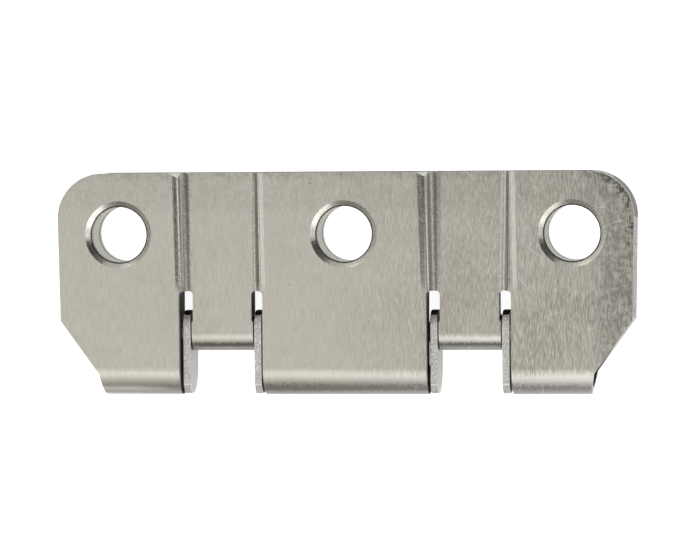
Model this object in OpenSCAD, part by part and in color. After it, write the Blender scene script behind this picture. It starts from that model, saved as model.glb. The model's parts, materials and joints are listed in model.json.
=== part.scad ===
// Hinged conveyor slat: a folded sheet plate whose two rolled straps each carry a pair of link plates.
// X runs across the slat, +Y towards its straight edge, and Z up from the rear face it lies on.

/* [Slat plate] */
// Width across the two outer panels
slat_w = 114.3; // [112:0.1:130]
// Length from the straight edge to the outside of the bends
slat_len = 44; // [43:0.1:50]
// Thickness over the two walls
slat_t = 11; // [10.6:0.1:11.8]
// Thickness of the folded sheet
sheet_t = 1.5; // [1.3:0.05:1.6]
// Radius of the corners at the straight edge
corner_r = 8.9; // [3:0.1:12]
// How far each side edge leans in on its way down
side_lean = 0.4; // [0:0.01:0.6]
// Distance from the straight edge to the start of the corner cuts
cut_start = 29.2; // [26:0.1:32]
// Width of each corner cut
cut_w = 7.6; // [4:0.1:9]
// Height of each corner cut
cut_h = 10.5; // [6:0.1:12]
// How far the ends of the bends lean in below the corner cuts
fold_lean = 0.8; // [0:0.1:1.2]

/* [Bolt holes] */
// Diameter of the three holes
hole_d = 11; // [8:0.1:11.5]
// Distance between hole centres
hole_pitch = 45; // [43:0.1:46]
// Distance from the straight edge to the hole centres
hole_edge = 12.15; // [10:0.05:14]
// Depth of the 45 degree chamfer on the front of each hole
chamfer = 1.15; // [0.3:0.05:1.2]
// Wall of the spacer sleeves
sleeve_wall = 1.5; // [1:0.1:2]

/* [Straps and slots] */
// Distance between the middles of the two straps
strap_pitch = 49.24; // [48:0.02:50]
// Width of each strap beside its slots
strap_w = 11.74; // [10:0.02:12.5]
// Width of the slots in the front wall
slot_w = 2.5; // [2.3:0.02:3]
// Distance from the straight edge to the slot ends
slot_start = 23.4; // [22:0.1:24.5]
// Corner radius of the slot ends
slot_corner = 0.8; // [0.3:0.05:1]
// Extra width of the rear wall's slots on each side
rear_slot_extra = 0.65; // [0.2:0.05:0.9]
// Radius of the joggle's upper bend, on the front face
joggle_top_r = 0.8; // [0.6:0.05:0.9]
// Radius of the joggle's lower bend, on the front face
joggle_foot_r = 1.6; // [1.4:0.05:1.7]
// Inside radius of the joggle's upper bend, on the rear face
joggle_rear_r = 0.3; // [0.2:0.05:0.5]
// Straight length between the two bends of a joggle
joggle_flat = 0.7; // [0.5:0.05:0.9]
// Thickness of the sheet across that straight, where the press thins it
joggle_t = 1.3; // [1.1:0.05:1.4]

/* [Hinges] */
// Diameter of the hinge pins
pin_d = 4.1; // [3.8:0.05:4.3]
// Distance from the straight edge to the pin axes
pin_edge = 31.7; // [31.2:0.1:32.4]
// Diameter of the riveted pin heads
head_d = 5.6; // [5:0.1:6.5]
// Height of the riveted pin heads
head_t = 0.8; // [0.5:0.05:1.2]
// Thickness of the link plates
link_t = 1.5; // [1.2:0.02:1.6]
// Height of the link plates above the pin axis
link_top = 4.4; // [4.2:0.05:5]
// Radius of the front upper corner of the link plates
link_front_r = 3; // [1:0.1:3.4]
// Radius of the rear lower corner of the link plates
link_rear_r = 5.5; // [3:0.1:6]
// Bevel of the front lower corner of the link plates
link_bevel = 1.8; // [0.8:0.1:2.2]

/* [Clearances] */
// Radial running clearance between pin and eye
run_gap = 0.05; // [0.02:0.01:0.1]
// Radial gap of the pin in its press fit in the link plates
press_gap = 0.01; // [0:0.005:0.02]
// Side gap between an eye and each of its link plates
eye_side_gap = 0.24; // [0.1:0.02:0.3]
// Gap between an eye and the rear wall behind it
eye_back_gap = 0.3; // [0.2:0.05:0.5]
// Gap between the free end of a rolled eye and its strap
curl_gap = 0.35; // [0.2:0.05:0.6]
// How far the link plates stop short of the bends' outside
link_end_gap = 0.2; // [0:0.05:0.5]

/* [Hidden] */
$fn = 96;
// Room added around a cutting tool so that it passes clean through
over = 1;
// Straight edge, bend axis and bend outside along Y, about the middle of the length
edge_y = slat_len / 2;
bend_r = slat_t / 2;
bend_y = bend_r - edge_y;
// Inside face of the rear wall and of the front wall
rear_in_z = sheet_t;
front_in_z = slat_t - sheet_t;
// Rolled eyes: bore, outside radius and axis. The strap is set back so that its eye clears the rear wall
eye_bore_r = pin_d / 2 + run_gap;
eye_r = eye_bore_r + sheet_t;
eye_y = edge_y - pin_edge;
eye_z = rear_in_z + eye_back_gap + eye_r;
strap_z = eye_z + eye_r;
strap_set = slat_t - strap_z;
curl_end = asin((eye_bore_r - curl_gap) / eye_r);
// Link plates stand in the middle of the slots, and the eye fills the width between them
strap_x = strap_pitch / 2;
link_dx = (strap_w + slot_w) / 2;
eye_w = 2 * (link_dx - eye_side_gap) - link_t;
link_bottom_y = link_end_gap - edge_y;
link_top_y = eye_y + link_top;
// Panels lie inside the slots' outer edges, and the middle panel between the inner ones
middle_x = strap_x - strap_w / 2 - slot_w;
outer_x = strap_x + strap_w / 2 + slot_w;
slot_y = edge_y - slot_start;
flare_y = eye_y + eye_bore_r;
// Joggle: both bends turn by one angle, worked out from the set-back and the straight between them.
// The rear line stands back from the front one, so that the straight is as thick as joggle_t
joggle_r_sum = joggle_top_r + joggle_foot_r;
joggle_turn = atan2(joggle_r_sum, joggle_flat)
    + asin((strap_set - joggle_r_sum) / norm([joggle_flat, joggle_r_sum]));
joggle_run = joggle_r_sum * sin(joggle_turn) + joggle_flat * cos(joggle_turn);
joggle_back = ((joggle_top_r - joggle_rear_r) * (1 - cos(joggle_turn))
    + sheet_t * cos(joggle_turn) - joggle_t) / sin(joggle_turn);
zone_half = link_dx + slot_w / 2;
bend_steps = 10;
steel = [0.72, 0.71, 0.66];
pin_steel = [0.62, 0.62, 0.6];

function polar(centre, r, a) = [centre[0] + r * cos(a), centre[1] + r * sin(a)];

// Extrudes a Y-Z outline along X, centred on x
module along_x(x, width) {
    translate([x - width / 2, 0, 0])
        rotate([90, 0, 90])
            linear_extrude(width)
                children();
}

// One face of a joggle, from the panel at the left down to the strap. It starts at x and z
function joggle_line(x, z, top_r) =
    let (foot_r = joggle_r_sum - top_r,
        top = [x, z - top_r],
        foot = [x + joggle_run, z - strap_set + foot_r])
    concat(
        [for (i = [0:bend_steps]) polar(top, top_r, 90 - joggle_turn * i / bend_steps)],
        [for (i = [bend_steps:-1:0]) polar(foot, foot_r, 270 - joggle_turn * i / bend_steps)]);

// One whole face of a set-back zone: the joggle, its mirror image, and a flat end in each panel
function set_back_line(x, z, top_r) =
    let (line = concat([[-zone_half - over, z]], joggle_line(x, z, top_r)))
    concat(line, [for (i = [len(line) - 1:-1:0]) [-line[i][0], line[i][1]]]);

// X-Z section of one set-back zone of the front wall, about the middle of its strap
module set_back_2d() {
    upper = set_back_line(-zone_half, slat_t, joggle_top_r);
    lower = set_back_line(joggle_back - zone_half, front_in_z, joggle_rear_r);
    polygon(concat(upper, [for (i = [len(lower) - 1:-1:0]) lower[i]]));
}

// Y-Z section of a panel: front wall, bend and rear wall
module hairpin_2d() {
    for (z = [0, front_in_z])
        translate([bend_y, z])
            square([edge_y - bend_y, sheet_t]);
    intersection() {
        translate([bend_y, bend_r])
            difference() {
                circle(bend_r);
                circle(bend_r - sheet_t);
            }
        translate([bend_y - slat_t, 0])
            square([slat_t, slat_t]);
    }
}

// Y-Z section of a strap and its rolled eye
module strap_2d() {
    centre = [eye_y, eye_z];
    difference() {
        union() {
            translate(centre)
                circle(eye_r);
            translate([eye_y, strap_z - sheet_t])
                square([slot_y - eye_y, sheet_t]);
        }
        translate(centre)
            circle(eye_bore_r);
        difference() {
            polygon([centre, polar(centre, 2 * eye_r, curl_end),
                polar(centre, 3 * eye_r, (curl_end + 90) / 2), polar(centre, 2 * eye_r, 90)]);
            translate([eye_y, strap_z - sheet_t])
                square([slat_len, sheet_t]);
        }
    }
}

// Outline of the slat seen from the front
module slat_outline_2d() {
    top_x = slat_w / 2;
    low_x = top_x - side_lean;
    cut_y = edge_y - cut_start;
    for (side = [0, 1])
        mirror([side, 0]) {
            polygon([[0, edge_y], [top_x - corner_r, edge_y], [top_x - corner_r, edge_y - corner_r],
                [top_x, edge_y - corner_r], [low_x, cut_y], [low_x - cut_w, cut_y - cut_h],
                [low_x - cut_w - fold_lean, -edge_y], [0, -edge_y]]);
            translate([top_x - corner_r, edge_y - corner_r])
                circle(corner_r);
        }
}

// One slot, open at its lower end, widened by extra all round
module slot_2d(extra) {
    half = slot_w / 2 + extra;
    corner_y = slot_y + extra - slot_corner;
    for (side = [-1, 1])
        translate([side * (half - slot_corner), corner_y])
            circle(slot_corner);
    translate([slot_corner - half, corner_y - over])
        square([2 * (half - slot_corner), over + slot_corner]);
    translate([-half, -edge_y - over])
        square([2 * half, corner_y + edge_y + over]);
}

// The two slots of one strap, from a start height up
module slot_pair(extra, z, height) {
    for (side = [-1, 1])
        translate([side * link_dx, 0, z])
            linear_extrude(height)
                slot_2d(extra);
}

// Walls of one strap zone: the set-back front wall and the rear wall with its tongue behind the eye
module strap_zone() {
    difference() {
        translate([0, edge_y, 0])
            rotate([90, 0, 0])
                linear_extrude(slot_start + slot_corner)
                    set_back_2d();
        slot_pair(0, -over, slat_t + 2 * over);
    }
    difference() {
        translate([-zone_half - over, eye_y, 0])
            cube([2 * (zone_half + over), edge_y - eye_y, sheet_t]);
        slot_pair(rear_slot_extra, -over, sheet_t + 2 * over);
    }
    intersection() {
        along_x(0, eye_w)
            strap_2d();
        linear_extrude(slat_t)
            polygon([[-strap_w / 2, slot_y], [strap_w / 2, slot_y],
                [strap_w / 2, flare_y + (eye_w - strap_w) / 2], [eye_w / 2, flare_y],
                [eye_w / 2, -edge_y], [-eye_w / 2, -edge_y], [-eye_w / 2, flare_y],
                [-strap_w / 2, flare_y + (eye_w - strap_w) / 2]]);
    }
}

// Through hole with its front chamfer
module bolt_hole() {
    translate([0, 0, -over])
        cylinder(h = slat_t + 2 * over, d = hole_d);
    translate([0, 0, slat_t - chamfer])
        cylinder(h = chamfer + over, d1 = hole_d, d2 = hole_d + 2 * (chamfer + over));
}

module slat_plate() {
    outer_w = slat_w / 2 - outer_x;
    color(steel)
        difference() {
            union() {
                intersection() {
                    union() {
                        along_x(0, 2 * middle_x)
                            hairpin_2d();
                        for (side = [-1, 1])
                            along_x(side * (outer_x + outer_w / 2), outer_w)
                                hairpin_2d();
                    }
                    linear_extrude(slat_t)
                        slat_outline_2d();
                }
                for (side = [-1, 1])
                    translate([side * strap_x, 0, 0])
                        strap_zone();
            }
            for (side = [-1, 1])
                translate([side * strap_x, 0, 0])
                    slot_pair(rear_slot_extra, -over, sheet_t + over);
            for (i = [-1:1])
                translate([i * hole_pitch, edge_y - hole_edge, 0])
                    bolt_hole();
        }
}

module spacer_sleeve(i) {
    color(steel)
        translate([i * hole_pitch, edge_y - hole_edge, rear_in_z])
            difference() {
                cylinder(h = front_in_z - rear_in_z, d = hole_d + 2 * sleeve_wall);
                translate([0, 0, -over])
                    cylinder(h = slat_t, d = hole_d);
            }
}

// Rounds off a corner whose material lies to the upper right, turned by the given angle
module round_corner(corner, turn, r) {
    translate(corner)
        rotate(turn)
            difference() {
                translate([-over, -over])
                    square(r + over);
                translate([r, r])
                    circle(r);
            }
}

// Y-Z outline of a link plate
module link_2d() {
    difference() {
        polygon([[link_top_y, 0], [link_top_y, strap_z], [link_bottom_y + link_bevel, strap_z],
            [link_bottom_y, strap_z - link_bevel], [link_bottom_y, 0]]);
        round_corner([link_bottom_y, 0], 0, link_rear_r);
        round_corner([link_top_y, 0], 90, link_top);
        round_corner([link_top_y, strap_z], 180, link_front_r);
        translate([eye_y, eye_z])
            circle(pin_d / 2 + press_gap);
    }
}

module link_plate(strap_side, slot_side) {
    color(steel)
        along_x(strap_side * strap_x + slot_side * link_dx, link_t)
            link_2d();
}

module hinge_pin(strap_side) {
    shank = 2 * link_dx + link_t;
    color(pin_steel)
        translate([strap_side * strap_x, eye_y, eye_z])
            rotate([0, 90, 0]) {
                cylinder(h = shank, d = pin_d, center = true);
                for (end = [0, 1])
                    mirror([0, 0, end])
                        translate([0, 0, shank / 2])
                            cylinder(h = head_t, d1 = head_d, d2 = pin_d);
            }
}

slat_plate();
spacer_sleeve(-1);  // spacer_sleeve_left
spacer_sleeve(0);  // spacer_sleeve_middle
spacer_sleeve(1);  // spacer_sleeve_right
link_plate(-1, -1);  // link_plate_left_outer
link_plate(-1, 1);  // link_plate_left_inner
link_plate(1, -1);  // link_plate_right_inner
link_plate(1, 1);  // link_plate_right_outer
hinge_pin(-1);  // hinge_pin_left
hinge_pin(1);  // hinge_pin_right
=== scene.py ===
import json
import math

import bmesh
import bpy
from mathutils import Matrix, Vector


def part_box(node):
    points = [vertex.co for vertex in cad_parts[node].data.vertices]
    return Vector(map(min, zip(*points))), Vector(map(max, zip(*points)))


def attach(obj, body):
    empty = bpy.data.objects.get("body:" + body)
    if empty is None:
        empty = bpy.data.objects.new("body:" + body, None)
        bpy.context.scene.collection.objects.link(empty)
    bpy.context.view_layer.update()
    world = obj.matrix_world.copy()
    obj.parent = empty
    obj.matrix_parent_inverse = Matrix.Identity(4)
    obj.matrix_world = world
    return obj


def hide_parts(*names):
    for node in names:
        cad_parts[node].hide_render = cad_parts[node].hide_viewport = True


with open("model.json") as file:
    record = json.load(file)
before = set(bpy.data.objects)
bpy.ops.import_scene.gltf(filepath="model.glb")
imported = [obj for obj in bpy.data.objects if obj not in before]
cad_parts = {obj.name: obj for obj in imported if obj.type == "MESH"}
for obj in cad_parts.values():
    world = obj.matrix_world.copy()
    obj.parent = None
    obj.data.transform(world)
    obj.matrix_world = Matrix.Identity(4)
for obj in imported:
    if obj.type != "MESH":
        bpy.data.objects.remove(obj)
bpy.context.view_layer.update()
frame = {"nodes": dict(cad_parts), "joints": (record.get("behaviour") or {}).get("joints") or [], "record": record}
mm = 0.001
print("stage: frame loaded")

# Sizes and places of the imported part
slatLow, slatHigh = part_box("slat_plate")
sleeveLow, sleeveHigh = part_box("spacer_sleeve_middle")
innerPlateLow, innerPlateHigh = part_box("link_plate_right_inner")
outerPlateLow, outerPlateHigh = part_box("link_plate_right_outer")
outerHole = next(mount for mount in frame["record"]["mounts"] if mount["name"] == "bolt_hole_right")
holePitch, holeY = outerHole["pos_m"][:2]
holeRadius = outerHole["dims"]["r_mm"] * mm
thickness = slatHigh.z - slatLow.z
sheet = sleeveLow.z - slatLow.z
# The panels turn round about one line, and the straps roll round the pins
bendRadius = thickness / 2
bendY = slatLow.y + bendRadius
pinX, eyeY, eyeZ = frame["joints"][1]["pos_m"]
eyeRadius = innerPlateHigh.z - eyeZ
# Each link plate stands in the middle of its slot
slotWidth = 2.5 * mm
slotEnd = -1.4 * mm
slotInner = (innerPlateLow.x + innerPlateHigh.x - slotWidth) / 2
slotOuter = (outerPlateLow.x + outerPlateHigh.x + slotWidth) / 2


def addNode(tree, kind, inputs=None, **settings):
    node = tree.nodes.new(kind)
    for key, value in settings.items():
        setattr(node, key, value)
    for key, value in (inputs or {}).items():
        socket = node.inputs[key]
        if isinstance(value, bpy.types.NodeSocket):
            tree.links.new(value, socket)
        else:
            socket.default_value = value
    return node


def mathNode(tree, operation, first, second=None, third=None, clamp=False):
    node = tree.nodes.new("ShaderNodeMath")
    node.operation = operation
    node.use_clamp = clamp
    for index, value in enumerate((first, second, third)):
        if isinstance(value, bpy.types.NodeSocket):
            tree.links.new(value, node.inputs[index])
        elif value is not None:
            node.inputs[index].default_value = value
    return node.outputs[0]


def mixColour(tree, amount, first, second):
    node = tree.nodes.new("ShaderNodeMix")
    node.data_type = "RGBA"
    for socket, value in ((node.inputs[0], amount), (node.inputs[6], first), (node.inputs[7], second)):
        if isinstance(value, bpy.types.NodeSocket):
            tree.links.new(value, socket)
        else:
            socket.default_value = value if socket == node.inputs[0] else (*value, 1.0)
    return node.outputs[2]


def remap(tree, value, fromLow, fromHigh, toLow=0.0, toHigh=1.0, smooth=False):
    node = tree.nodes.new("ShaderNodeMapRange")
    node.interpolation_type = "SMOOTHSTEP" if smooth else "LINEAR"
    tree.links.new(value, node.inputs[0])
    for index, number in enumerate((fromLow, fromHigh, toLow, toHigh)):
        node.inputs[index + 1].default_value = number
    return node.outputs[0]


def vectorMath(tree, operation, first, second=None, scale=None):
    node = addNode(tree, "ShaderNodeVectorMath", {0: first}, operation=operation)
    for index, value in ((1, second), (3, scale)):
        if isinstance(value, bpy.types.NodeSocket):
            tree.links.new(value, node.inputs[index])
        elif value is not None:
            node.inputs[index].default_value = value
    return node.outputs["Value" if operation in ("LENGTH", "DOT_PRODUCT") else "Vector"]


def shake(tree, value, noise, amount):
    # Moves a value up and down by a noise that runs from 0 to 1
    return mathNode(tree, "MULTIPLY_ADD", mathNode(tree, "SUBTRACT", noise, 0.5), amount, value)


def product(tree, first, *others):
    for other in others:
        first = mathNode(tree, "MULTIPLY", first, other)
    return first


def strongest(tree, masks):
    first, *others = masks
    for other in others:
        first = mathNode(tree, "MAXIMUM", first, other)
    return first


def newGroup(name, inputs, outputs, kind="ShaderNodeTree"):
    tree = bpy.data.node_groups.new(name, kind)
    for label, socketKind, value in inputs:
        socket = tree.interface.new_socket(name=label, in_out="INPUT", socket_type=socketKind)
        if value is not None:
            socket.default_value = value
    for label, socketKind in outputs:
        tree.interface.new_socket(name=label, in_out="OUTPUT", socket_type=socketKind)
    return tree, tree.nodes.new("NodeGroupInput").outputs, tree.nodes.new("NodeGroupOutput").inputs


def useGroup(tree, group, **values):
    node = tree.nodes.new("ShaderNodeGroup")
    node.node_tree = group
    for key, value in values.items():
        if isinstance(value, bpy.types.NodeSocket):
            tree.links.new(value, node.inputs[key])
        else:
            node.inputs[key].default_value = value
    return node.outputs


def makeBrushedGrain():
    # Long fine strokes along Y, with slow streaks where the belt bit deeper
    tree, given, out = newGroup("brushedGrain",
        [("Place", "NodeSocketVector", None), ("Fineness", "NodeSocketFloat", 9000.0),
         ("Length", "NodeSocketFloat", 260.0)],
        [("Grain", "NodeSocketFloat"), ("Streak", "NodeSocketFloat")])
    split = addNode(tree, "ShaderNodeSeparateXYZ", {0: given["Place"]})
    fine = addNode(tree, "ShaderNodeCombineXYZ", {
        0: mathNode(tree, "MULTIPLY", split.outputs[0], given["Fineness"]),
        1: mathNode(tree, "MULTIPLY", split.outputs[1], given["Length"]),
        2: mathNode(tree, "MULTIPLY", split.outputs[2], given["Length"])})
    grain = addNode(tree, "ShaderNodeTexNoise", {"Vector": fine.outputs[0], "Scale": 1.0,
        "Detail": 3.0, "Roughness": 0.65, "Distortion": 0.2})
    slow = vectorMath(tree, "MULTIPLY", fine.outputs[0], (0.12, 0.22, 0.22))
    streak = addNode(tree, "ShaderNodeTexNoise", {"Vector": slow, "Scale": 1.0,
        "Detail": 2.0, "Roughness": 0.5})
    tree.links.new(remap(tree, grain.outputs[0], 0.3, 0.7), out["Grain"])
    tree.links.new(remap(tree, streak.outputs[0], 0.32, 0.68), out["Streak"])
    return tree


def makeStrokes():
    # Short straight scratches: one stroke in some of the cells, turned by Angle
    tree, given, out = newGroup("strayScratches",
        [("Place", "NodeSocketVector", None), ("Density", "NodeSocketFloat", 120.0),
         ("Angle", "NodeSocketFloat", 0.3), ("Width", "NodeSocketFloat", 0.012),
         ("Share", "NodeSocketFloat", 0.4)],
        [("Mask", "NodeSocketFloat")])
    turn = addNode(tree, "ShaderNodeVectorRotate", {"Vector": given["Place"], "Angle": given["Angle"]},
        rotation_type="Z_AXIS")
    flat = vectorMath(tree, "MULTIPLY", turn.outputs[0], (1.0, 0.45, 0.0))
    cells = addNode(tree, "ShaderNodeTexVoronoi", {"Vector": flat, "Scale": given["Density"]},
        voronoi_dimensions="2D")
    scaled = vectorMath(tree, "SCALE", flat, scale=given["Density"])
    centre = vectorMath(tree, "SCALE", cells.outputs["Position"], scale=given["Density"])
    local = vectorMath(tree, "SUBTRACT", scaled, centre)
    near = addNode(tree, "ShaderNodeSeparateXYZ", {0: local})
    cell = addNode(tree, "ShaderNodeSeparateColor", {0: cells.outputs["Color"]})
    lean = mathNode(tree, "MULTIPLY_ADD", near.outputs[1],
        mathNode(tree, "SUBTRACT", cell.outputs[1], 0.5), near.outputs[0])
    across = mathNode(tree, "ABSOLUTE", lean)
    along = mathNode(tree, "ABSOLUTE", near.outputs[1])
    line = mathNode(tree, "SUBTRACT", 1.0, mathNode(tree, "DIVIDE", across, given["Width"]), clamp=True)
    reach = mathNode(tree, "MULTIPLY", cell.outputs[2], 0.42)
    ends = mathNode(tree, "MULTIPLY", mathNode(tree, "SUBTRACT", reach, along), 8.0, clamp=True)
    chosen = mathNode(tree, "LESS_THAN", cell.outputs[0], given["Share"])
    tree.links.new(product(tree, line, ends, chosen), out["Mask"])
    return tree


def makeSpecks():
    # Small pits and dirt spots, a few to the square centimetre
    tree, given, out = newGroup("darkSpecks",
        [("Place", "NodeSocketVector", None), ("Density", "NodeSocketFloat", 450.0),
         ("Size", "NodeSocketFloat", 0.09), ("Share", "NodeSocketFloat", 0.12)],
        [("Mask", "NodeSocketFloat")])
    cells = addNode(tree, "ShaderNodeTexVoronoi", {"Vector": given["Place"], "Scale": given["Density"]})
    cell = addNode(tree, "ShaderNodeSeparateColor", {0: cells.outputs["Color"]})
    radius = mathNode(tree, "MULTIPLY", given["Size"], cell.outputs[1])
    spot = mathNode(tree, "MULTIPLY", mathNode(tree, "SUBTRACT", radius, cells.outputs["Distance"]),
        30.0, clamp=True)
    chosen = mathNode(tree, "LESS_THAN", cell.outputs[0], given["Share"])
    tree.links.new(mathNode(tree, "MULTIPLY", spot, chosen), out["Mask"])
    return tree


def makeTumbled():
    # The coarse sparkle of sheared metal after a turn in the tumbling drum
    tree, given, out = newGroup("tumbledGrit",
        [("Place", "NodeSocketVector", None), ("Grit", "NodeSocketFloat", 4200.0)],
        [("Grit", "NodeSocketFloat"), ("Patch", "NodeSocketFloat")])
    grit = addNode(tree, "ShaderNodeTexNoise", {"Vector": given["Place"], "Scale": given["Grit"],
        "Detail": 2.0, "Roughness": 0.7})
    patch = addNode(tree, "ShaderNodeTexNoise", {"Vector": given["Place"],
        "Scale": mathNode(tree, "MULTIPLY", given["Grit"], 0.22), "Detail": 3.0, "Roughness": 0.6})
    tree.links.new(remap(tree, grit.outputs[0], 0.32, 0.68), out["Grit"])
    tree.links.new(remap(tree, patch.outputs[0], 0.38, 0.62), out["Patch"])
    return tree


def makePaintedFoldLine():
    # A line down the sheet along a joggle fold, used for both painted shade and painted highlight. It leans as it
    # climbs, and its strength goes from Low at the middle of the sheet to High at the straight edge
    tree, given, out = newGroup("paintedFoldLine",
        [("Place", "NodeSocketVector", None), ("Line", "NodeSocketFloat", 0.0),
         ("Lean", "NodeSocketFloat", 0.0), ("Half Width", "NodeSocketFloat", 0.0005),
         ("Widening", "NodeSocketFloat", 0.0), ("Low", "NodeSocketFloat", 1.0),
         ("High", "NodeSocketFloat", 1.0)],
        [("Mask", "NodeSocketFloat")])
    split = addNode(tree, "ShaderNodeSeparateXYZ", {0: given["Place"]})
    line = mathNode(tree, "MULTIPLY_ADD", split.outputs[1], given["Lean"], given["Line"])
    away = mathNode(tree, "ABSOLUTE", mathNode(tree, "SUBTRACT", split.outputs[0], line))
    reach = mathNode(tree, "MULTIPLY_ADD", split.outputs[1], given["Widening"], given["Half Width"])
    near = mathNode(tree, "SUBTRACT", 1.15, mathNode(tree, "DIVIDE", away, reach))
    above = remap(tree, split.outputs[1], -0.0022, 0.001, smooth=True)
    climb = remap(tree, split.outputs[1], 0.0, 0.02)
    share = mathNode(tree, "MULTIPLY_ADD", climb, mathNode(tree, "SUBTRACT", given["High"], given["Low"]),
        given["Low"])
    mask = product(tree, remap(tree, near, 0.0, 0.45, smooth=True), above, share)
    tree.links.new(mask, out["Mask"])
    return tree


brushedGrain = makeBrushedGrain()
paintedFoldLine = makePaintedFoldLine()
strayScratches = makeStrokes()
darkSpecks = makeSpecks()
tumbledGrit = makeTumbled()


def startMaterial(name):
    material = bpy.data.materials.new(name)
    material.use_nodes = True
    tree = material.node_tree
    tree.nodes.clear()
    shader = tree.nodes.new("ShaderNodeBsdfPrincipled")
    output = tree.nodes.new("ShaderNodeOutputMaterial")
    tree.links.new(shader.outputs[0], output.inputs[0])
    return material, tree, shader


# Places in metres: lines of painted shade along the joggle folds, and lines of painted highlight on them
shadeLines = [
    {"Line": -0.03326, "Lean": -0.0253, "Half Width": 0.00034},
    {"Line": -0.03143, "Lean": -0.0113, "Half Width": 0.00060, "Low": 0.15, "High": 0.55},
    {"Line": -0.01732, "Lean": -0.0148, "Half Width": 0.00058, "Low": 0.55, "High": 0.6},
    {"Line": 0.01568, "Lean": -0.0198, "Half Width": 0.00044, "Widening": 0.014, "Low": 0.8},
    {"Line": 0.01833, "Lean": 0.0071, "Half Width": 0.00070, "Low": 0.15, "High": 0.6},
    {"Line": 0.03255, "Lean": -0.0071, "Half Width": 0.00036, "Low": 0.5, "High": 0.5},
]
highlightLines = [
    {"Line": -0.03270, "Lean": -0.0183, "Half Width": 0.00014},
    {"Line": -0.03218, "Lean": -0.0154, "Half Width": 0.00016},
    {"Line": -0.01603, "Lean": -0.0148, "Half Width": 0.00042, "Low": 0.4, "High": 0.4},
    {"Line": 0.01668, "Lean": -0.0113, "Half Width": 0.00018},
    {"Line": 0.03375, "Lean": -0.0113, "Half Width": 0.00046, "Low": 0.5, "High": 0.5},
]


def sumMarks(tree, place, paintedLines):
    return strongest(tree, [useGroup(tree, paintedFoldLine, Place=place, **mark)["Mask"] for mark in paintedLines])


def paintedDarkReflection(tree, turn, across, grit, finish):
    # Painted dark reflection: a dark band along the outside of each bend, with a wavy edge, and a dark tail past
    # it
    wavy = shake(tree, turn, grit["Patch"], finish["darkReflectionWaves"])
    wavy = shake(tree, wavy, grit["Grit"], finish["darkReflectionGrit"])
    darkReflectionBand = product(tree, remap(tree, wavy, *finish["darkReflectionStart"], smooth=True),
        remap(tree, wavy, *finish["darkReflectionEnd"], smooth=True),
        remap(tree, across, *finish["darkReflectionFade"], smooth=True), finish["darkReflectionBand"])
    darkReflectionTail = product(tree, remap(tree, turn, *finish["darkReflectionTailStart"], smooth=True),
        remap(tree, across, *finish["darkReflectionTail"]))
    return mathNode(tree, "MAXIMUM", darkReflectionBand, darkReflectionTail)


def paintCornerShade(tree, spot, fleck, patch, finish):
    # Painted shade round the right-hand corner, mottled by flecks and patches
    corner = vectorMath(tree, "SUBTRACT", spot, finish["cornerShadePlace"])
    corner = vectorMath(tree, "MAXIMUM", corner, (0.0, 0.0, 0.0))
    away = vectorMath(tree, "LENGTH", vectorMath(tree, "MULTIPLY", corner, (1.0, 1.0, 0.0)))
    across, along, up = addNode(tree, "ShaderNodeSeparateXYZ", {0: spot}).outputs
    strip = product(tree, remap(tree, away, *finish["cornerShadeStrip"], smooth=True),
        remap(tree, along, *finish["cornerShadeClimb"], smooth=True),
        remap(tree, fleck, *finish["cornerShadeFlecks"]))
    cornerShade = product(tree,
        mathNode(tree, "MAXIMUM", strip, remap(tree, away, *finish["cornerShadeCast"], smooth=True)),
        remap(tree, across, *finish["cornerShadeFade"]), remap(tree, patch, *finish["cornerShadePatches"]))
    return mathNode(tree, "MULTIPLY", cornerShade, finish["cornerShade"], clamp=True)


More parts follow.
